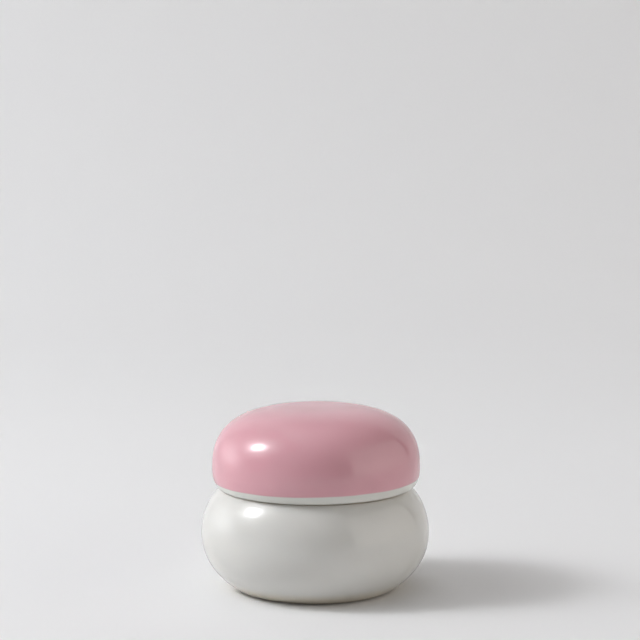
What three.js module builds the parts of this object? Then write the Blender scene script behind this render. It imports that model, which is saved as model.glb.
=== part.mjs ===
// A lidded powder jar of glazed porcelain: a squat, full-bodied jar and a domed lid.
// Both are turned shapes, so each is one closed outline revolved about the upright axis.
// The jar's mouth has a raised collar. The lid's lip passes outside the collar and rests on
// the flat seat round its foot. Millimetres, +Z up, origin on the floor under the axis.
import * as THREE from "three";

// ---- The jar body's outside ----
const BODY_RADIUS = 40; // at the widest line of the belly
const BELLY_HEIGHT = 19.2; // of the widest line above the floor
const SHOULDER_RISE = 16.45; // from the widest line up to the seat for the lid
const SHOULDER_CURVE_RISE = 21.9; // how far the shoulder's curve would rise if not cut at the seat
const SHOULDER_FULLNESS = 4.45; // 2 is an ellipse, more is squarer
const BASE_CURVE_DEPTH = 24.9; // how far the base's curve would go down if not cut above the floor
const BASE_FULLNESS = 2.37;

// ---- The foot and the bowl inside ----
const FOOT_HEIGHT = 0.8; // of the base's edge above the floor
const FOOT_INSET = 1.9; // of the foot ring in from the base's edge
const FOOT_RING_WIDTH = 3.4;
const FOOT_RECESS = 1.4; // of the underside inside the foot ring
const BODY_WALL = 3.2;
const FLOOR_THICKNESS = 3.2;
const BOWL_CORNER_FULLNESS = 5;

// ---- The collar that the lid goes over, and the fit of the two ----
const COLLAR_RISE = 4; // above the seat
const COLLAR_WALL = 2;
const COLLAR_CLEARANCE = 0.6; // between the collar and the inside of the lip, all round
const SEAT_GAP = 0.3; // between the seat and the lip that rests on it
const LIP_OVERHANG = 0.25; // of the flat of the lip beyond the seat's outer edge

// ---- The lid ----
const LIP_WIDTH = 3; // of the flat underneath the lip
const LIP_LAND = 2.4; // height of the upright band inside the lip, which faces the collar
const LID_SWELL = 2.95; // of the lid's widest line beyond the flat of the lip
const LID_WIDEST_RISE = 6.5; // of the lid's widest line above the flat of the lip
const LIP_CURVE_DEPTH = 14.45; // how far the lower flank's curve would go down if not cut at the lip
const LIP_FULLNESS = 4.72;
const CROWN_RISE = 21.3; // of the top above the lid's widest line
const CROWN_FULLNESS = 3.24;
const CROWN_FLATNESS = 2.5;
const LID_WALL = 3;
const LID_TOP_WALL = 3.4;

// ---- Rounded edges ----
const FOOT_ROUND = 0.35;
const FOOT_ROOT_ROUND = 0.3;
const SEAT_ROUND = 0.7;
const COLLAR_ROOT_ROUND = 0.4;
const COLLAR_TOP_ROUND = 0.9;
const LIP_OUTER_ROUND = 2;
const LIP_INNER_ROUND = 0.7;
const LIP_LAND_ROUND = 1.5;

// ---- How finely the curves are cut into flats ----
const FLATS_ROUND = 60;
const FLATS_PER_CURVE = 8;
const FLATS_PER_EDGE = 2;

const SEAT_HEIGHT = BELLY_HEIGHT + SHOULDER_RISE;
const LIP_HEIGHT = SEAT_HEIGHT + SEAT_GAP;

// The radius, at a height off its widest line, of a curve between an ellipse and a rectangle.
function curveRadius(radius, rise, fullness, height, flatness = 2) {
  return radius * (1 - Math.abs(height / rise) ** flatness) ** (1 / fullness);
}

// The height off its widest line at which that curve has come in to the radius r.
function curveHeight(radius, rise, fullness, r, flatness = 2) {
  return rise * (1 - (r / radius) ** fullness) ** (1 / flatness);
}

// Points of that curve from one height off its widest line to another, closer together
// where it turns fastest.
function curvePoints({ radius, rise, fullness, flatness = 2, widest, from, to }) {
  const turn = (height) => Math.sign(height) * Math.asin(Math.abs(height / rise) ** (flatness / 2));
  const points = [];
  for (let i = 0; i <= FLATS_PER_CURVE; i += 1) {
    const angle = turn(from) + (turn(to) - turn(from)) * i / FLATS_PER_CURVE;
    const height = Math.sign(angle) * rise * Math.abs(Math.sin(angle)) ** (2 / flatness);
    points.push(new THREE.Vector2(curveRadius(radius, rise, fullness, height, flatness), widest + height));
  }
  return points;
}

// The arc that rounds off a corner between two straight edges.
function roundedCorner(before, corner, after, radius) {
  const back = before.clone().sub(corner).normalize();
  const on = after.clone().sub(corner).normalize();
  const half = Math.acos(back.dot(on)) / 2;
  const middle = back.clone().add(on).normalize();
  const centre = corner.clone().addScaledVector(middle, radius / Math.sin(half));
  const start = corner.clone().addScaledVector(back, radius / Math.tan(half)).sub(centre);
  const turn = Math.sign(back.cross(on)) * (Math.PI - 2 * half);
  const points = [];
  for (let i = 0; i <= FLATS_PER_EDGE; i += 1) {
    const spoke = start.clone().rotateAround(new THREE.Vector2(), -turn * i / FLATS_PER_EDGE);
    points.push(centre.clone().add(spoke));
  }
  return points;
}

// An outline from runs of points and from corners to be rounded off.
function outline(parts) {
  const nodes = parts.flatMap((part) => (Array.isArray(part) ? part.map((at) => ({ at })) : [part]));
  return nodes.flatMap((node, i) => (
    node.round ? roundedCorner(nodes[i - 1].at, node.at, nodes[i + 1].at, node.round) : [node.at]
  ));
}

function corner(r, height, round) {
  return { at: new THREE.Vector2(r, height), round };
}

function turned(name, profile, material) {
  const geometry = new THREE.LatheGeometry(profile, FLATS_ROUND);
  geometry.rotateX(Math.PI / 2);
  const mesh = new THREE.Mesh(geometry, material);
  mesh.name = name;
  return mesh;
}

const whiteGlaze = new THREE.MeshStandardMaterial({
  name: "white_porcelain",
  color: 0xe6e3dc,
  roughness: 0.12,
  metalness: 0,
});
const pinkGlaze = new THREE.MeshStandardMaterial({
  name: "pink_glaze",
  color: 0xe2a5ae,
  roughness: 0.12,
  metalness: 0,
});

// ---- Sizes that follow from the body's curve at the seat ----
const BASE_RADIUS = curveRadius(BODY_RADIUS, BASE_CURVE_DEPTH, BASE_FULLNESS, BELLY_HEIGHT - FOOT_HEIGHT);
const FOOT_RADIUS = BASE_RADIUS - FOOT_INSET;
const SEAT_RADIUS = curveRadius(BODY_RADIUS, SHOULDER_CURVE_RISE, SHOULDER_FULLNESS, SHOULDER_RISE);
const LIP_RADIUS = SEAT_RADIUS + LIP_OVERHANG;
const LIP_INNER_RADIUS = LIP_RADIUS - LIP_WIDTH;
const COLLAR_RADIUS = LIP_INNER_RADIUS - COLLAR_CLEARANCE;
const MOUTH_RADIUS = COLLAR_RADIUS - COLLAR_WALL;
const LID_RADIUS = LIP_RADIUS + LID_SWELL;

// The jar: up the outside from the foot, over the seat and the collar, and down the bowl.
function jarProfile() {
  const recess = FOOT_RADIUS - FOOT_RING_WIDTH;
  const bowlRadius = BODY_RADIUS - BODY_WALL;
  const bowlCurveRise = SHOULDER_CURVE_RISE - BODY_WALL;
  const bowlTop = curveHeight(bowlRadius, bowlCurveRise, SHOULDER_FULLNESS, MOUTH_RADIUS);
  const bowlDepth = BELLY_HEIGHT - FOOT_RECESS - FLOOR_THICKNESS;
  const collarTop = SEAT_HEIGHT + COLLAR_RISE;
  return outline([
    corner(0, FOOT_RECESS),
    corner(recess, FOOT_RECESS, FOOT_ROUND),
    corner(recess, 0, FOOT_ROUND),
    corner(FOOT_RADIUS, 0, FOOT_ROUND),
    corner(FOOT_RADIUS, FOOT_HEIGHT, FOOT_ROOT_ROUND),
    curvePoints({
      radius: BODY_RADIUS, rise: BASE_CURVE_DEPTH, fullness: BASE_FULLNESS,
      widest: BELLY_HEIGHT, from: FOOT_HEIGHT - BELLY_HEIGHT, to: 0,
    }),
    curvePoints({
      radius: BODY_RADIUS, rise: SHOULDER_CURVE_RISE, fullness: SHOULDER_FULLNESS,
      widest: BELLY_HEIGHT, from: 0, to: SHOULDER_RISE,
    }).slice(1, -1),
    corner(SEAT_RADIUS, SEAT_HEIGHT, SEAT_ROUND),
    corner(COLLAR_RADIUS, SEAT_HEIGHT, COLLAR_ROOT_ROUND),
    corner(COLLAR_RADIUS, collarTop, COLLAR_TOP_ROUND),
    corner(MOUTH_RADIUS, collarTop, COLLAR_TOP_ROUND),
    curvePoints({
      radius: bowlRadius, rise: bowlCurveRise, fullness: SHOULDER_FULLNESS,
      widest: BELLY_HEIGHT, from: bowlTop, to: 0,
    }),
    curvePoints({
      radius: bowlRadius, rise: bowlDepth, fullness: BOWL_CORNER_FULLNESS,
      widest: BELLY_HEIGHT, from: 0, to: -bowlDepth,
    }).slice(1),
  ]);
}

// The lid: down the inside from under the crown, round the lip, and up the outside.
function lidProfile() {
  const widest = LIP_HEIGHT + LID_WIDEST_RISE;
  const innerRadius = LID_RADIUS - LID_WALL;
  const lipOuter = curveRadius(LID_RADIUS, LIP_CURVE_DEPTH, LIP_FULLNESS, LID_WIDEST_RISE);
  const lipRoundTop = widest - LIP_HEIGHT - LIP_OUTER_ROUND;
  return outline([
    curvePoints({
      radius: innerRadius, rise: CROWN_RISE - LID_TOP_WALL, fullness: CROWN_FULLNESS,
      flatness: CROWN_FLATNESS, widest, from: CROWN_RISE - LID_TOP_WALL, to: 0,
    }),
    corner(LIP_INNER_RADIUS, LIP_HEIGHT + LIP_LAND, LIP_LAND_ROUND),
    corner(LIP_INNER_RADIUS, LIP_HEIGHT, LIP_INNER_ROUND),
    corner(lipOuter, LIP_HEIGHT, LIP_OUTER_ROUND),
    curvePoints({
      radius: LID_RADIUS, rise: LIP_CURVE_DEPTH, fullness: LIP_FULLNESS,
      widest, from: -lipRoundTop, to: 0,
    }),
    curvePoints({
      radius: LID_RADIUS, rise: CROWN_RISE, fullness: CROWN_FULLNESS,
      flatness: CROWN_FLATNESS, widest, from: 0, to: CROWN_RISE,
    }).slice(1),
  ]);
}

const powderJar = new THREE.Group();
powderJar.add(turned("jar_body", jarProfile(), whiteGlaze));
powderJar.add(turned("lid", lidProfile(), pinkGlaze));

export default powderJar;
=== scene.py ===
import math
import bpy
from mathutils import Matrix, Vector


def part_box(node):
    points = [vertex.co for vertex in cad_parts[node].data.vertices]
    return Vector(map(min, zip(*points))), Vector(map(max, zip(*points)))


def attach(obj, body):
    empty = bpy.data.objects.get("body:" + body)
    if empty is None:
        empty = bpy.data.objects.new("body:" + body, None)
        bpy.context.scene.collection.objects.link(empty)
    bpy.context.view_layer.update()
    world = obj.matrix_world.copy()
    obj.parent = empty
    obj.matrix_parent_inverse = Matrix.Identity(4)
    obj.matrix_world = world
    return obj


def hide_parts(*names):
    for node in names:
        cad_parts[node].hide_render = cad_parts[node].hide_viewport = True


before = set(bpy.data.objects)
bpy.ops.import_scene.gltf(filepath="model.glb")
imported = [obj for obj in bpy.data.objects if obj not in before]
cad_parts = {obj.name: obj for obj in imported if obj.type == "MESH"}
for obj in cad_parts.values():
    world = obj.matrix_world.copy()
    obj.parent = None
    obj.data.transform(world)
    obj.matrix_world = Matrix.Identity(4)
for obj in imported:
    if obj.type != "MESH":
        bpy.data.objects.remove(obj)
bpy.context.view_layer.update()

# ---------------------------------------------------------------------------
# The camera. A long lens on a stand, a little above the jar, which looks down
# at it so that the lid's top shows as a narrow ellipse. It stands a hair to
# the right of the jar's axis and well back, so the jar is small and low.
# ---------------------------------------------------------------------------
CAMERA_DISTANCE = 0.8462  # from a point on the jar's axis at the sight height
CAMERA_ELEVATION = math.radians(12.466)
CAMERA_TILT = math.radians(7.546)  # of the lens below the horizontal
CAMERA_ASIDE = 0.00171
CAMERA_SIGHT_HEIGHT = 0.0211
LENS_MM, SENSOR_MM = 135, 36
camera_data = bpy.data.cameras.new("camera")
camera_data.lens = LENS_MM
camera_data.sensor_width = SENSOR_MM
camera_data.clip_start = 0.05
camera_data.clip_end = 20
camera = bpy.data.objects.new("camera", camera_data)
camera.location = (
    CAMERA_ASIDE,
    -CAMERA_DISTANCE * math.cos(CAMERA_ELEVATION),
    CAMERA_SIGHT_HEIGHT + CAMERA_DISTANCE * math.sin(CAMERA_ELEVATION),
)
camera.rotation_euler = (math.pi / 2 - CAMERA_TILT, 0, 0)
bpy.context.scene.collection.objects.link(camera)
bpy.context.scene.camera = camera
bpy.context.scene.view_settings.view_transform = "Standard"


# ---------------------------------------------------------------------------
# The table and the backdrop: one sheet of matt white paper. It lies flat
# under the jar, bends up behind it in a wide sweep, and ends at a top edge.
# ---------------------------------------------------------------------------
def linear(code):
    """The linear colour of an sRGB hex code such as "e8a0aa", with alpha 1."""
    parts = [int(code[i:i + 2], 16) / 255 for i in (0, 2, 4)]
    return (*[c / 12.92 if c <= 0.04045 else ((c + 0.055) / 1.055) ** 2.4 for c in parts], 1.0)


def add_node(tree, kind, inputs=None, **settings):
    """Adds a node. inputs maps its sockets to a value to set or to a socket to link from."""
    node = tree.nodes.new(kind)
    for key, value in settings.items():
        setattr(node, key, value)
    for key, value in (inputs or {}).items():
        if isinstance(value, bpy.types.NodeSocket):
            tree.links.new(value, node.inputs[key])
        else:
            node.inputs[key].default_value = value
    return node


def new_material(name, **shader):
    """A material with a Principled shader, and its tree, shader and object coordinates."""
    material = bpy.data.materials.new(name)
    material.use_nodes = True
    tree = material.node_tree
    surface = tree.nodes["Principled BSDF"]
    for socket, value in shader.items():
        surface.inputs[socket.replace("_", " ").title().replace("Ior", "IOR")].default_value = value
    where = add_node(tree, "ShaderNodeTexCoord").outputs["Object"]
    return material, tree, surface, where


def link_object(name, mesh):
    piece = bpy.data.objects.new(name, mesh)
    bpy.context.scene.collection.objects.link(piece)
    return piece


# White seamless paper: uncoated, so it is fully matt, with a faint mottle of pulp.
PULP_PER_METRE = 900.0  # clots of pulp about 1.1 mm across
paper, tree, surface, where = new_material("white_seamless_paper", roughness=0.95)
pulp = add_node(tree, "ShaderNodeTexNoise", {"Vector": where, "Scale": PULP_PER_METRE, "Detail": 4.0})
mottle = add_node(tree, "ShaderNodeMix", {
    "Factor": pulp.outputs[0],
    6: linear("e5e5e5"),
    7: linear("e8e8e7"),
}, data_type="RGBA")
tree.links.new(mottle.outputs[2], surface.inputs["Base Color"])
surface.inputs["Specular IOR Level"].default_value = 0.1

PAPER_FRONT = -0.9
PAPER_BEND = 0.55  # where it starts to rise
PAPER_BEND_RADIUS = 0.3
PAPER_TOP = 0.84
PAPER_LEFT, PAPER_RIGHT = -0.62, 1.1
PAPER_BELOW_FOOT = 0.00005
BEND_STEPS = 24
sweep = [(PAPER_FRONT, 0.0), (PAPER_BEND, 0.0)]
for step in range(1, BEND_STEPS + 1):
    turn = math.pi / 2 * step / BEND_STEPS
    sweep.append((PAPER_BEND + PAPER_BEND_RADIUS * math.sin(turn),
                  PAPER_BEND_RADIUS * (1 - math.cos(turn))))
sweep.append((PAPER_BEND + PAPER_BEND_RADIUS, PAPER_TOP))
corners = [(x, y, z - PAPER_BELOW_FOOT) for y, z in sweep for x in (PAPER_LEFT, PAPER_RIGHT)]
paper_mesh = bpy.data.meshes.new("paper_sweep")
paper_mesh.from_pydata(corners, [], [
    (2 * i, 2 * i + 1, 2 * i + 3, 2 * i + 2) for i in range(len(sweep) - 1)
])
paper_mesh.shade_smooth()
paper_mesh.materials.append(paper)
sheet = link_object("paper_sweep", paper_mesh)

# ---------------------------------------------------------------------------
# The light. A lamp behind a sheet of diffusing cloth high on the left gives the
# one bright, soft-edged highlight, and lights up the ceiling and the wall there.
# A wider, dimmer cloth below it lights the left flanks, and a weak one at the
# right fills the shade. The cloths are seen only in the glaze, never directly.
# ---------------------------------------------------------------------------
def way_to(azimuth, elevation):
    """The direction from the jar to that azimuth (0 in front, 90 on the right), in degrees."""
    azimuth, elevation = math.radians(azimuth), math.radians(elevation)
    return Vector((
        math.sin(azimuth) * math.cos(elevation),
        -math.cos(azimuth) * math.cos(elevation),
        math.sin(elevation),
    ))


ROOM_LIGHT = 0.02  # of the dim walls
# Each glow of the room: which way it lies, how bright it is there, and how tightly it is drawn in.
ROOM_GLOWS = (
    (way_to(-100, 62), 1.4, 5.0),  # the ceiling over the lamp
    (way_to(-80, 2), 0.7, 3.5),  # the white wall beyond the table
)
BACKGROUND_SEEN = 0.72  # past the edges of the paper
GLOW_SEEN = 0.45  # the share of the room's glow that shows there
world = bpy.data.worlds.new("room")
world.use_nodes = True
bpy.context.scene.world = world
tree = world.node_tree
where = add_node(tree, "ShaderNodeTexCoord").outputs["Object"]
room = ROOM_LIGHT
for way, brightness, tightness in ROOM_GLOWS:
    towards = add_node(tree, "ShaderNodeVectorMath", {0: where, 1: way}, operation="DOT_PRODUCT")
    off_way = add_node(tree, "ShaderNodeMath", {0: towards.outputs["Value"], 1: 1.0}, operation="SUBTRACT")
    spread = add_node(tree, "ShaderNodeMath", {0: off_way.outputs[0], 1: tightness}, operation="MULTIPLY")
    fading = add_node(tree, "ShaderNodeMath", {0: spread.outputs[0]}, operation="EXPONENT")
    glow = add_node(tree, "ShaderNodeMath", {0: fading.outputs[0], 1: brightness}, operation="MULTIPLY")
    room = add_node(tree, "ShaderNodeMath", {0: glow.outputs[0], 1: room}, operation="ADD").outputs[0]
seen = add_node(tree, "ShaderNodeLightPath").outputs["Is Camera Ray"]
glow = add_node(tree, "ShaderNodeMath", {0: room, 1: GLOW_SEEN}, operation="MULTIPLY")
background = add_node(tree, "ShaderNodeMath", {0: glow.outputs[0], 1: BACKGROUND_SEEN}, operation="ADD")
level = add_node(tree, "ShaderNodeMix", {0: seen, 2: room, 3: background.outputs[0]})
tree.links.new(level.outputs[0], tree.nodes["Background"].inputs["Strength"])
tree.nodes["Background"].inputs["Color"].default_value = linear("fdfdff")


CLOTH_AIM_HEIGHT = 0.035  # of the point that the cloths face, on the jar's axis


def lit_cloth(name, colour, way, distance, left, right, bottom, top, glows):
    """A flat glowing cloth that faces the jar, that way from it and that far off. Its edges are
    measured from its middle. Each glow is (level at the middle, spread)."""
    cloth = bpy.data.materials.new(name)
    cloth.use_nodes = True
    tree = cloth.node_tree
    tree.nodes.remove(tree.nodes["Principled BSDF"])
    where = add_node(tree, "ShaderNodeTexCoord").outputs["Object"]
    away = add_node(tree, "ShaderNodeVectorMath", {0: where}, operation="LENGTH").outputs["Value"]
    total = 0.0
    for peak, spread in glows:
        ratio = add_node(tree, "ShaderNodeMath", {0: away, 1: spread}, operation="DIVIDE")
        squared = add_node(tree, "ShaderNodeMath", {0: ratio.outputs[0], 1: 2.0}, operation="POWER")
        fall = add_node(tree, "ShaderNodeMath", {0: squared.outputs[0], 1: -1.0}, operation="MULTIPLY")
        bell = add_node(tree, "ShaderNodeMath", {0: fall.outputs[0]}, operation="EXPONENT")
        glow = add_node(tree, "ShaderNodeMath", {0: bell.outputs[0], 1: peak}, operation="MULTIPLY")
        total = add_node(tree, "ShaderNodeMath", {0: glow.outputs[0], 1: total}, operation="ADD").outputs[0]
    shine = add_node(tree, "ShaderNodeEmission", {"Color": linear(colour), "Strength": total})
    tree.links.new(shine.outputs[0], tree.nodes["Material Output"].inputs["Surface"])
    mesh = bpy.data.meshes.new(name)
    corners = [(left, bottom, 0), (right, bottom, 0), (right, top, 0), (left, top, 0)]
    mesh.from_pydata(corners, [], [(0, 3, 2, 1)])
    mesh.materials.append(cloth)
    panel = link_object(name, mesh)
    turn = way.to_track_quat("Z", "Y").to_matrix().to_4x4()
    turn.translation = Vector((0, 0, CLOTH_AIM_HEIGHT)) + way * distance
    panel.matrix_world = turn
    panel.visible_camera = False


lit_cloth("lamp_cloth", "fbfcff", way_to(-86, 41), 1.3,
          left=-0.8, right=0.8, bottom=-0.8, top=0.8, glows=[(29.0, 0.15), (4.9, 0.43)])
lit_cloth("side_cloth", "fbfcff", way_to(-109, 9), 1.4,
          left=-1.4, right=1.4, bottom=-0.25, top=1.2, glows=[(1.4, 0.35), (1.3, 0.85)])
lit_cloth("fill_cloth", "fff9f4", way_to(65, 0), 1.15,
          left=-0.54, right=1.76, bottom=-0.034, top=1.28, glows=[(0.65, 100.0), (0.75, 0.96)])

# ---------------------------------------------------------------------------
# The jar body: one piece of slip-cast porcelain, white and clear-glazed all
# over except on its foot ring and on the seat for the lid, which are wiped
# bare so that they don't stick in the kiln. A raised collar rings the mouth.
# ---------------------------------------------------------------------------
MM = 0.001
jar_low, jar_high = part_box("jar_body")
lid_low, lid_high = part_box("lid")
BELLY_RADIUS = (jar_high.x - jar_low.x) / 2
BELLY_HEIGHT = 19.2 * MM
SHOULDER_CURVE_RISE, SHOULDER_FULLNESS = 21.9 * MM, 4.45
BASE_CURVE_DEPTH, BASE_FULLNESS = 24.9 * MM, 2.37
COLLAR_RISE, COLLAR_WALL = 4 * MM, 2 * MM
COLLAR_CLEARANCE = 0.6 * MM
LIP_WIDTH, LIP_OVERHANG = 3 * MM, 0.25 * MM
BODY_WALL = 3.2 * MM
FOOT_HEIGHT, FOOT_INSET = 0.8 * MM, 1.9 * MM
FOOT_RING_WIDTH, FOOT_RECESS = 3.4 * MM, 1.4 * MM
FLOOR_THICKNESS, BOWL_CORNER_FULLNESS = 3.2 * MM, 5
RECESS_ROUND, FOOT_INNER_ROUND, FOOT_ROUND = 0.5 * MM, 0.4 * MM, 0.35 * MM
FOOT_ROOT_ROUND, BASE_EDGE_ROUND = 0.3 * MM, 0.25 * MM
SEAT_EDGE_ROUND, COLLAR_ROOT_ROUND, COLLAR_TOP_ROUND = 0.7 * MM, 0.4 * MM, 0.95 * MM
STEPS_AROUND = 288
GLAZED, BARE = 0.0, 1.0
INSIDE, OUTSIDE = 0, 1  # only the outside takes the dip of coloured glaze


def swell_radius(radius, rise, fullness, height, flatness=2):
    """Radius, at a height off its widest line, of a curve between an ellipse and a box."""
    return radius * max(0.0, 1 - abs(height / rise) ** flatness) ** (1 / fullness)


def swell_height(radius, rise, fullness, at_radius, flatness=2):
    return rise * (1 - (at_radius / radius) ** fullness) ** (1 / flatness)


def swell(radius, rise, fullness, widest, start, end, steps, flatness=2):
    """Outline points of that curve from one height off its widest line to another."""
    def turn(height):
        return math.copysign(math.asin(min(1.0, abs(height / rise) ** (flatness / 2))), height)
    points = []
    for i in range(steps + 1):
        angle = turn(start) + (turn(end) - turn(start)) * i / steps
        height = math.copysign(rise * abs(math.sin(angle)) ** (2 / flatness), angle)
        points.append(Vector((swell_radius(radius, rise, fullness, height, flatness), widest + height)))
    return points


def rounded(before, corner, after, radius, steps):
    """The arc that rounds off a corner of the outline."""
    back, on = (before - corner).normalized(), (after - corner).normalized()
    half = back.angle(on) / 2
    centre = corner + (back + on).normalized() * (radius / math.sin(half))
    first = corner + back * (radius / math.tan(half)) - centre
    turn = math.copysign(math.pi - 2 * half, -(back.x * on.y - back.y * on.x))
    points = []
    for i in range(steps + 1):
        angle = turn * i / steps
        points.append(centre + Vector((
            first.x * math.cos(angle) - first.y * math.sin(angle),
            first.x * math.sin(angle) + first.y * math.cos(angle),
        )))
    return points


def straight(start, end, steps):
    """Points between two corners, both left out."""
    return [start.lerp(end, i / steps) for i in range(1, steps)]


SAME_PLACE = 1e-6


def outline_mesh(name, runs):
    """The outline as a chain of edges. Each run is (points, bare or glazed, inside or outside)."""
    points, bare, outside = [], [], []
    for run, coat, side in runs:
        for point in run:
            if points and (point - points[-1]).length < SAME_PLACE:
                continue
            points.append(point)
            bare.append(coat)
            outside.append(side)
    mesh = bpy.data.meshes.new(name)
    mesh.from_pydata([(p.x, 0, p.y) for p in points], [(i, i + 1) for i in range(len(points) - 1)], [])
    mesh.attributes.new("bare", "FLOAT", "POINT").data.foreach_set("value", bare)
    mesh.attributes.new("outside", "FLOAT", "POINT").data.foreach_set("value", outside)
    return mesh


# The potter's wheel: a Geometry Nodes tree that turns an outline about the upright axis.
# A kiln never leaves clay quite true, so the walls wander by a few hundredths of a
# millimetre, and a coloured glaze stands proud above a line that wavers round the piece.
wheel = bpy.data.node_groups.new("turn_outline", "GeometryNodeTree")
WHEEL_INPUTS = (
    ("Outline", "NodeSocketGeometry"),
    ("Steps Around", "NodeSocketInt"),
    ("Wander", "NodeSocketFloat"),
    ("Wander Size", "NodeSocketFloat"),
    ("Glaze Line", "NodeSocketFloat"),
    ("Glaze Line Slope", "NodeSocketFloat"),
    ("Glaze Line Waver", "NodeSocketFloat"),
    ("Glaze Line Waver Size", "NodeSocketFloat"),
    ("Glaze Thickness", "NodeSocketFloat"),
    ("Glaze Edge", "NodeSocketFloat"),
    ("Seed", "NodeSocketFloat"),
    ("Lean", "NodeSocketFloat"),
    ("Lean About", "NodeSocketVector"),
    ("Shift", "NodeSocketVector"),
    ("Outside Finish", "NodeSocketMaterial"),
    ("Inside Finish", "NodeSocketMaterial"),
)
for name, kind in WHEEL_INPUTS:
    wheel.interface.new_socket(name, in_out="INPUT", socket_type=kind)
wheel.interface.new_socket("Turned", in_out="OUTPUT", socket_type="NodeSocketGeometry")
given = add_node(wheel, "NodeGroupInput").outputs



# A grid has one column for each step of the turn, and in each column one row for each point of
# the outline. Each point takes its place and its finish from the outline's point in its row.
steps = given["Steps Around"]
rows = add_node(wheel, "GeometryNodeAttributeDomainSize", {"Geometry": given["Outline"]})
rows = rows.outputs["Point Count"]
columns = add_node(wheel, "ShaderNodeMath", {0: steps, 1: 1.0}, operation="ADD").outputs[0]
grid = add_node(wheel, "GeometryNodeMeshGrid", {"Vertices X": columns, "Vertices Y": rows})
index = add_node(wheel, "GeometryNodeInputIndex").outputs[0]
row = add_node(wheel, "ShaderNodeMath", {0: index, 1: rows}, operation="MODULO").outputs[0]
along = add_node(wheel, "ShaderNodeMath", {0: index, 1: rows}, operation="DIVIDE")
column = add_node(wheel, "ShaderNodeMath", {0: along.outputs[0]}, operation="FLOOR")
share = add_node(wheel, "ShaderNodeMath", {0: column.outputs[0], 1: steps}, operation="DIVIDE")
angle = add_node(wheel, "ShaderNodeMath", {0: share.outputs[0], 1: math.tau}, operation="MULTIPLY")
position = add_node(wheel, "GeometryNodeInputPosition").outputs[0]
drawn = add_node(wheel, "GeometryNodeSampleIndex", {
    "Geometry": given["Outline"], "Value": position, "Index": row,
}, data_type="FLOAT_VECTOR")
spun = add_node(wheel, "ShaderNodeVectorRotate", {
    "Vector": drawn.outputs["Value"], "Angle": angle.outputs[0],
}, rotation_type="Z_AXIS")
turned = add_node(wheel, "GeometryNodeSetPosition", {
    "Geometry": grid.outputs["Mesh"], "Position": spun.outputs[0],
}).outputs[0]
for name in ("bare", "outside"):
    finish = add_node(wheel, "GeometryNodeInputNamedAttribute", {"Name": name}, data_type="FLOAT")
    drawn = add_node(wheel, "GeometryNodeSampleIndex", {
        "Geometry": given["Outline"], "Value": finish.outputs["Attribute"], "Index": row,
    }, data_type="FLOAT")
    turned = add_node(wheel, "GeometryNodeStoreNamedAttribute", {
        "Geometry": turned, "Name": name, "Value": drawn.outputs["Value"],
    }, data_type="FLOAT", domain="POINT").outputs[0]
# Merging closes the seam and the two poles.
turned = add_node(wheel, "GeometryNodeMergeByDistance", {
    "Geometry": turned, "Distance": SAME_PLACE,
}).outputs[0]
bare = add_node(wheel, "GeometryNodeInputNamedAttribute", {"Name": "bare"}, data_type="FLOAT")
bare = bare.outputs["Attribute"]
outside = add_node(wheel, "GeometryNodeInputNamedAttribute", {"Name": "outside"}, data_type="FLOAT")
outside = outside.outputs["Attribute"]

# The height above the glaze line, in millimetres where it is stored for the colour. The line
# slopes across the piece and wavers, and the glaze thickens over a narrow edge just at it.
place = add_node(wheel, "ShaderNodeSeparateXYZ", {0: position}).outputs
line = add_node(wheel, "ShaderNodeMath", {
    0: place["X"], 1: given["Glaze Line Slope"], 2: given["Glaze Line"],
}, operation="MULTIPLY_ADD")
waver_scale = add_node(wheel, "ShaderNodeMath", {
    0: 1.0, 1: given["Glaze Line Waver Size"],
}, operation="DIVIDE")
wavers = add_node(wheel, "ShaderNodeTexNoise", {
    "Vector": position, "W": given["Seed"], "Scale": waver_scale.outputs[0], "Detail": 1.0,
}, noise_dimensions="4D")
evened = add_node(wheel, "ShaderNodeMath", {0: wavers.outputs[0], 1: 0.5}, operation="SUBTRACT")
waver = add_node(wheel, "ShaderNodeMath", {
    0: evened.outputs[0], 1: given["Glaze Line Waver"],
}, operation="MULTIPLY")
over = add_node(wheel, "ShaderNodeMath", {0: place["Z"], 1: line.outputs[0]}, operation="SUBTRACT")
above = add_node(wheel, "ShaderNodeMath", {
    0: over.outputs[0], 1: waver.outputs[0],
}, operation="SUBTRACT").outputs[0]
above_mm = add_node(wheel, "ShaderNodeMath", {0: above, 1: MM}, operation="DIVIDE")
turned = add_node(wheel, "GeometryNodeStoreNamedAttribute", {
    "Geometry": turned, "Name": "above_glaze_line", "Value": above_mm.outputs[0],
}, data_type="FLOAT", domain="POINT").outputs[0]
edge_start = add_node(wheel, "ShaderNodeMath", {0: given["Glaze Edge"], 1: -0.5}, operation="MULTIPLY")
edge_end = add_node(wheel, "ShaderNodeMath", {0: given["Glaze Edge"], 1: 0.5}, operation="MULTIPLY")
cover = add_node(wheel, "ShaderNodeMapRange", {
    "Value": above, "From Min": edge_start.outputs[0], "From Max": edge_end.outputs[0],
}, interpolation_type="SMOOTHSTEP")
dipped = add_node(wheel, "ShaderNodeMath", {0: cover.outputs[0], 1: outside}, operation="MULTIPLY")
coat = add_node(wheel, "ShaderNodeMath", {
    0: dipped.outputs[0], 1: given["Glaze Thickness"],
}, operation="MULTIPLY")

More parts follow.
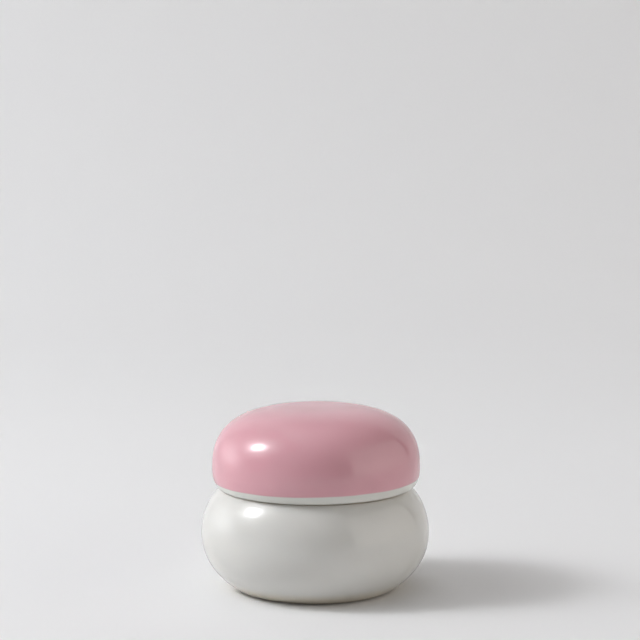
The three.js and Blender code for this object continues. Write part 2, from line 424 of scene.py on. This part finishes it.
# The wander of the walls, in and out. It is left off the bare clay, which is wiped and set down flat.
wander_scale = add_node(wheel, "ShaderNodeMath", {0: 1.0, 1: given["Wander Size"]}, operation="DIVIDE")
wanders = add_node(wheel, "ShaderNodeTexNoise", {
    "Vector": position, "W": given["Seed"], "Scale": wander_scale.outputs[0], "Detail": 1.5,
}, noise_dimensions="4D")
evened = add_node(wheel, "ShaderNodeMath", {0: wanders.outputs[0], 1: 0.5}, operation="SUBTRACT")
wander = add_node(wheel, "ShaderNodeMath", {
    0: evened.outputs[0], 1: given["Wander"],
}, operation="MULTIPLY")
glazed = add_node(wheel, "ShaderNodeMath", {0: 1.0, 1: bare}, operation="SUBTRACT")
wander = add_node(wheel, "ShaderNodeMath", {
    0: wander.outputs[0], 1: glazed.outputs[0],
}, operation="MULTIPLY")
thickness = add_node(wheel, "ShaderNodeMath", {0: wander.outputs[0], 1: coat.outputs[0]}, operation="ADD")
outwards = add_node(wheel, "GeometryNodeInputNormal").outputs[0]
lift = add_node(wheel, "ShaderNodeVectorMath", {
    0: outwards, "Scale": thickness.outputs[0],
}, operation="SCALE")
turned = add_node(wheel, "GeometryNodeSetPosition", {
    "Geometry": turned, "Offset": lift.outputs[0],
}).outputs[0]
leant = add_node(wheel, "ShaderNodeVectorRotate", {
    "Vector": position, "Center": given["Lean About"], "Angle": given["Lean"],
}, rotation_type="Y_AXIS")
turned = add_node(wheel, "GeometryNodeSetPosition", {
    "Geometry": turned, "Position": leant.outputs[0], "Offset": given["Shift"],
}).outputs[0]
turned = add_node(wheel, "GeometryNodeSetShadeSmooth", {"Geometry": turned}).outputs[0]
turned = add_node(wheel, "GeometryNodeRealizeInstances", {"Geometry": turned}).outputs[0]
turned = add_node(wheel, "GeometryNodeSetMaterial", {
    "Geometry": turned, "Material": given["Inside Finish"],
}).outputs[0]
is_outside = add_node(wheel, "ShaderNodeMath", {0: outside, 1: 0.5}, operation="GREATER_THAN")
turned = add_node(wheel, "GeometryNodeSetMaterial", {
    "Geometry": turned, "Selection": is_outside.outputs[0], "Material": given["Outside Finish"],
}).outputs[0]
add_node(wheel, "NodeGroupOutput", {"Turned": turned})


def turn_piece(name, outline, **sizes):
    """Turns an outline into a finished piece with a plain mesh."""
    blank = link_object(name + "_outline", outline)
    turning = blank.modifiers.new("turn", "NODES")
    turning.node_group = wheel
    sockets = {
        item.name: item.identifier for item in wheel.interface.items_tree if item.in_out == "INPUT"
    }
    for size, value in sizes.items():
        turning[sockets[size.replace("_", " ").title()]] = value
    depsgraph = bpy.context.evaluated_depsgraph_get()
    mesh = bpy.data.meshes.new_from_object(
        blank.evaluated_get(depsgraph), preserve_all_data_layers=True, depsgraph=depsgraph)
    blank.modifiers.remove(turning)
    bpy.data.objects.remove(blank)
    mesh.materials.pop(index=0)  # the outline's empty slot
    mesh.name = name
    return link_object(name, mesh)


# Bare fired porcelain is matt, with a sugary grain. The real grain is finer than a twentieth of a
# millimetre: it is drawn at a quarter of one so that it shows.
GRAIN_SIZE, GRAIN_RISE = 0.25 * MM, 0.02 * MM
SMUDGE_SIZE = 6 * MM  # of the patches where the clay took more dirt in the kiln
CLAY_ROUGHNESS = 0.72
# Fired glaze is glass: its reflections are sharp, and its skin rolls gently like orange peel, about
# 1.6 mm from crest to crest. The gloss varies a little from place to place.
PEEL_SIZE, PEEL_RISE = 1.6 * MM, 0.0006 * MM
SHEEN_SIZE, GLAZE_ROUGHNESS = 9 * MM, (0.012, 0.03)
GLAZE_IOR = 1.55


def clay_and_glaze(tree, surface, where, glaze_colour):
    """Finish that both pieces share: glaze with a faint orange peel, and bare, gritty clay."""
    bare = add_node(tree, "ShaderNodeAttribute", attribute_name="bare").outputs["Fac"]
    grain = add_node(tree, "ShaderNodeTexNoise", {"Vector": where, "Scale": 1 / GRAIN_SIZE, "Detail": 3.0})
    smudge = add_node(tree, "ShaderNodeTexNoise", {"Vector": where, "Scale": 1 / SMUDGE_SIZE, "Detail": 3.0})
    clay = add_node(tree, "ShaderNodeMix", {
        "Factor": smudge.outputs[0], 6: linear("d8d0c3"), 7: linear("c8bdae"),
    }, data_type="RGBA")
    colour = add_node(tree, "ShaderNodeMix", {
        "Factor": bare, 6: glaze_colour, 7: clay.outputs[2],
    }, data_type="RGBA")
    tree.links.new(colour.outputs[2], surface.inputs["Base Color"])
    sheen = add_node(tree, "ShaderNodeTexNoise", {"Vector": where, "Scale": 1 / SHEEN_SIZE, "Detail": 2.0})
    gloss = add_node(tree, "ShaderNodeMapRange", {
        "Value": sheen.outputs[0], "To Min": GLAZE_ROUGHNESS[0], "To Max": GLAZE_ROUGHNESS[1],
    })
    rough = add_node(tree, "ShaderNodeMix", {0: bare, 2: gloss.outputs[0], 3: CLAY_ROUGHNESS})
    tree.links.new(rough.outputs[0], surface.inputs["Roughness"])
    peel = add_node(tree, "ShaderNodeTexNoise", {"Vector": where, "Scale": 1 / PEEL_SIZE, "Detail": 1.0})
    rise = add_node(tree, "ShaderNodeMix", {0: bare, 2: PEEL_RISE, 3: GRAIN_RISE})
    skin = add_node(tree, "ShaderNodeMix", {0: bare, 2: peel.outputs[0], 3: grain.outputs[0]})
    relief = add_node(tree, "ShaderNodeMath", {0: skin.outputs[0], 1: rise.outputs[0]}, operation="MULTIPLY")
    bump = add_node(tree, "ShaderNodeBump", {"Height": relief.outputs[0], "Strength": 1.0, "Distance": 1.0})
    tree.links.new(bump.outputs[0], surface.inputs["Normal"])


# Clear glaze over white porcelain: a cool white with a trace of warmth, under a glassy skin.
white_glaze, tree, surface, where = new_material(
    "clear_glaze_on_white_porcelain",
    ior=GLAZE_IOR, subsurface_weight=0.12, subsurface_scale=1 * MM)
surface.inputs["Subsurface Radius"].default_value = (1.0, 0.9, 0.8)
WHITE_CLOUD_SIZE = 22 * MM
cloud = add_node(tree, "ShaderNodeTexNoise", {
    "Vector": where, "Scale": 1 / WHITE_CLOUD_SIZE, "Detail": 2.0,
})
white = add_node(tree, "ShaderNodeMix", {
    "Factor": cloud.outputs[0], 6: linear("dad9d4"), 7: linear("d6d5d0"),
}, data_type="RGBA")
# Just above the foot the white turns to a warmer cream, strongest at the foot and fading out upwards,
# but not in the recess inside the foot ring, which is nearer the middle.
WARM_TINT_BELOW, WARM_TINT_SHARE = 5.5 * MM, 0.8
RECESS_ENDS, FLANK_STARTS = 24 * MM, 27 * MM
height = add_node(tree, "ShaderNodeSeparateXYZ", {0: where}).outputs["Z"]
from_middle = add_node(tree, "ShaderNodeVectorMath", {0: where}, operation="LENGTH").outputs["Value"]
beyond_foot = add_node(tree, "ShaderNodeMapRange", {
    "Value": from_middle, "From Min": RECESS_ENDS, "From Max": FLANK_STARTS,
    "To Max": WARM_TINT_SHARE,
})
warm_tint = add_node(tree, "ShaderNodeMapRange", {
    "Value": height, "From Min": WARM_TINT_BELOW, "From Max": FOOT_HEIGHT,
    "To Max": beyond_foot.outputs[0],
}, interpolation_type="SMOOTHSTEP")
body_colour = add_node(tree, "ShaderNodeMix", {
    "Factor": warm_tint.outputs[0], 6: white.outputs[2], 7: linear("ddd3c0"),
}, data_type="RGBA")
clay_and_glaze(tree, surface, where, body_colour.outputs[2])

seat_height = jar_high.z - COLLAR_RISE
base_radius = swell_radius(BELLY_RADIUS, BASE_CURVE_DEPTH, BASE_FULLNESS, BELLY_HEIGHT - FOOT_HEIGHT)
foot_radius = base_radius - FOOT_INSET
seat_radius = swell_radius(
    BELLY_RADIUS, SHOULDER_CURVE_RISE, SHOULDER_FULLNESS, seat_height - BELLY_HEIGHT)
lip_radius = seat_radius + LIP_OVERHANG
lip_inner_radius = lip_radius - LIP_WIDTH
collar_radius = lip_inner_radius - COLLAR_CLEARANCE
mouth_radius = collar_radius - COLLAR_WALL
bowl_radius = BELLY_RADIUS - BODY_WALL
bowl_rise = SHOULDER_CURVE_RISE - BODY_WALL
bowl_depth = BELLY_HEIGHT - FOOT_RECESS - FLOOR_THICKNESS
bowl_top = swell_height(bowl_radius, bowl_rise, SHOULDER_FULLNESS, mouth_radius)
recess_radius = foot_radius - FOOT_RING_WIDTH
centre_under = Vector((0, FOOT_RECESS))
recess_corner = Vector((recess_radius, FOOT_RECESS))
ring_inner = Vector((recess_radius, 0))
ring_outer = Vector((foot_radius, 0))
foot_root = Vector((foot_radius, FOOT_HEIGHT))
base_edge = Vector((base_radius, FOOT_HEIGHT))
seat_edge = Vector((seat_radius, seat_height))
collar_root = Vector((collar_radius, seat_height))
collar_outer = Vector((collar_radius, jar_high.z))
collar_inner = Vector((mouth_radius, jar_high.z))
bowl_edge = Vector((mouth_radius, BELLY_HEIGHT + bowl_top))
base_curve = swell(
    BELLY_RADIUS, BASE_CURVE_DEPTH, BASE_FULLNESS, BELLY_HEIGHT, FOOT_HEIGHT - BELLY_HEIGHT, 0, 34)
shoulder_curve = swell(
    BELLY_RADIUS, SHOULDER_CURVE_RISE, SHOULDER_FULLNESS, BELLY_HEIGHT,
    0, seat_height - BELLY_HEIGHT, 34)
foot_inner_edge = rounded(recess_corner, ring_inner, ring_outer, FOOT_INNER_ROUND, 6)
seat_outer_edge = rounded(shoulder_curve[-3], seat_edge, collar_root, SEAT_EDGE_ROUND, 6)
collar_corner = rounded(seat_edge, collar_root, collar_outer, COLLAR_ROOT_ROUND, 6)
jar_outline = outline_mesh("jar_outline", [
    ([centre_under] + straight(centre_under, recess_corner, 16), GLAZED, OUTSIDE),
    (rounded(centre_under, recess_corner, ring_inner, RECESS_ROUND, 6), GLAZED, OUTSIDE),
    (foot_inner_edge[:3], GLAZED, OUTSIDE),
    (foot_inner_edge[3:], BARE, OUTSIDE),
    (straight(ring_inner, ring_outer, 5)[1:-1], BARE, OUTSIDE),
    (rounded(ring_inner, ring_outer, foot_root, FOOT_ROUND, 6), BARE, OUTSIDE),
    (rounded(ring_outer, foot_root, base_edge, FOOT_ROOT_ROUND, 6), BARE, OUTSIDE),
    (straight(foot_root, base_edge, 5)[1:-1], BARE, OUTSIDE),
    (rounded(foot_root, base_edge, base_curve[3], BASE_EDGE_ROUND, 6), GLAZED, OUTSIDE),
    (base_curve[3:], GLAZED, OUTSIDE),
    (shoulder_curve[1:-2], GLAZED, OUTSIDE),
    (seat_outer_edge[:4], GLAZED, OUTSIDE),
    (seat_outer_edge[4:], BARE, OUTSIDE),
    (straight(seat_edge, collar_root, 6)[1:-1], BARE, OUTSIDE),
    (collar_corner[:4], BARE, OUTSIDE),
    (collar_corner[4:], GLAZED, OUTSIDE),
    (straight(collar_root, collar_outer, 8)[1:-2], GLAZED, OUTSIDE),
    (rounded(collar_root, collar_outer, collar_inner, COLLAR_TOP_ROUND, 8), GLAZED, OUTSIDE),
    (rounded(collar_outer, collar_inner, bowl_edge, COLLAR_TOP_ROUND, 8), GLAZED, OUTSIDE),
    (straight(collar_inner, bowl_edge, 8)[2:], GLAZED, OUTSIDE),
    (swell(bowl_radius, bowl_rise, SHOULDER_FULLNESS, BELLY_HEIGHT, bowl_top, 0, 26), GLAZED, OUTSIDE),
    (swell(bowl_radius, bowl_depth, BOWL_CORNER_FULLNESS, BELLY_HEIGHT, 0, -bowl_depth, 40)[1:],
     GLAZED, OUTSIDE),
])
jar = turn_piece(
    "porcelain_jar", jar_outline, steps_around=STEPS_AROUND, wander=0.12 * MM, wander_size=26 * MM,
    glaze_line=-1.0, glaze_line_slope=0.0, glaze_line_waver=0.0, glaze_line_waver_size=1.0,
    glaze_thickness=0.0, glaze_edge=1 * MM, seed=3.0, lean=0.0, lean_about=(0, 0, 0), shift=(0, 0, 0),
    outside_finish=white_glaze, inside_finish=white_glaze)
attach(jar, "jar")
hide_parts("jar_body")

# ---------------------------------------------------------------------------
# The lid: the same porcelain, cast as a dome. The outside is dipped in a pink
# glaze that stops short of the lip, so the lip shows as a white band. The
# inside is clear-glazed, and the flat under the lip is bare where it rests.
# ---------------------------------------------------------------------------
LID_WIDEST_RISE = 6.5 * MM
LIP_CURVE_DEPTH, LIP_FULLNESS = 14.45 * MM, 4.72
CROWN_FULLNESS, CROWN_FLATNESS = 3.24, 2.5
LID_WALL, LID_TOP_WALL = 3 * MM, 3.4 * MM
LIP_LAND = 2.4 * MM
LIP_LAND_ROUND, LIP_INNER_ROUND, LIP_OUTER_ROUND = 1.5 * MM, 0.7 * MM, 2 * MM
PINK_LINE_ABOVE_LIP = 2.95 * MM
PINK_LINE_SLOPE = 0.0125  # the dip was not quite level, so the line rises to the right
LID_LEAN = -0.007  # the lid was laid on a touch high at the right, by a quarter of a millimetre
LID_SHIFT = (0.4 * MM, 0, 0)  # and pushed to the right, within its play round the collar
# Pink glaze: clear glaze with a pink stain in it, dipped on and fired to the same glassy skin. It
# is faintly cloudy where it lies thicker, and it fades to the white over 0.65 mm at its lower line.
PINK_CLOUD_SIZE = 14 * MM
PINK_FADE_FROM, PINK_FADE_TO = -0.3, 0.35  # millimetres above the line
pink_glaze, tree, surface, where = new_material(
    "pink_glaze_on_porcelain",
    ior=GLAZE_IOR, subsurface_weight=0.08, subsurface_scale=1 * MM)
surface.inputs["Subsurface Radius"].default_value = (1.0, 0.7, 0.7)
cloud = add_node(tree, "ShaderNodeTexNoise", {
    "Vector": where, "Scale": 1 / PINK_CLOUD_SIZE, "Detail": 3.0,
})
pink = add_node(tree, "ShaderNodeMix", {
    "Factor": cloud.outputs[0], 6: linear("daa5ad"), 7: linear("d69ea7"),
}, data_type="RGBA")
above = add_node(tree, "ShaderNodeAttribute", attribute_name="above_glaze_line").outputs["Fac"]
covered = add_node(tree, "ShaderNodeMapRange", {
    "Value": above, "From Min": PINK_FADE_FROM, "From Max": PINK_FADE_TO,
}, interpolation_type="SMOOTHSTEP")
finish = add_node(tree, "ShaderNodeMix", {
    "Factor": covered.outputs[0], 6: linear("d9d8d2"), 7: pink.outputs[2],
}, data_type="RGBA")
clay_and_glaze(tree, surface, where, finish.outputs[2])

lid_radius = (lid_high.x - lid_low.x) / 2
lid_widest = lid_low.z + LID_WIDEST_RISE
crown_rise = lid_high.z - lid_widest
lid_inner_radius = lid_radius - LID_WALL
lip_outer_radius = swell_radius(lid_radius, LIP_CURVE_DEPTH, LIP_FULLNESS, LID_WIDEST_RISE)
lip_inner = Vector((lip_inner_radius, lid_low.z))
lip_outer = Vector((lip_outer_radius, lid_low.z))
land_top = Vector((lip_inner_radius, lid_low.z + LIP_LAND))
hollow = swell(lid_inner_radius, crown_rise - LID_TOP_WALL, CROWN_FULLNESS, lid_widest,
               crown_rise - LID_TOP_WALL, 0, 48, CROWN_FLATNESS)
flank = swell(
    lid_radius, LIP_CURVE_DEPTH, LIP_FULLNESS, lid_widest, LIP_OUTER_ROUND - LID_WIDEST_RISE, 0, 40)
crown = swell(lid_radius, crown_rise, CROWN_FULLNESS, lid_widest, 0, crown_rise, 72, CROWN_FLATNESS)
lip_inner_edge = rounded(land_top, lip_inner, lip_outer, LIP_INNER_ROUND, 8)
lip_outer_edge = rounded(lip_inner, lip_outer, flank[0], LIP_OUTER_ROUND, 14)
lid_outline = outline_mesh("lid_outline", [
    (hollow, GLAZED, INSIDE),
    (rounded(hollow[-1], land_top, lip_inner, LIP_LAND_ROUND, 8), GLAZED, INSIDE),
    (lip_inner_edge[:4], GLAZED, INSIDE),
    (lip_inner_edge[4:], BARE, INSIDE),
    (straight(lip_inner, lip_outer, 7)[1:-2], BARE, OUTSIDE),
    (lip_outer_edge[:3], BARE, OUTSIDE),
    (lip_outer_edge[3:], GLAZED, OUTSIDE),
    (flank, GLAZED, OUTSIDE),
    (crown[1:], GLAZED, OUTSIDE),
])
lid = turn_piece(
    "porcelain_lid", lid_outline, steps_around=STEPS_AROUND, wander=0.14 * MM, wander_size=24 * MM,
    glaze_line=lid_low.z + PINK_LINE_ABOVE_LIP, glaze_line_slope=PINK_LINE_SLOPE,
    glaze_line_waver=0.35 * MM, glaze_line_waver_size=9 * MM, glaze_thickness=0.12 * MM,
    glaze_edge=0.5 * MM, seed=8.0, lean=LID_LEAN, lean_about=(0, 0, lid_low.z), shift=LID_SHIFT,
    outside_finish=pink_glaze, inside_finish=white_glaze)
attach(lid, "lid")
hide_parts("lid")
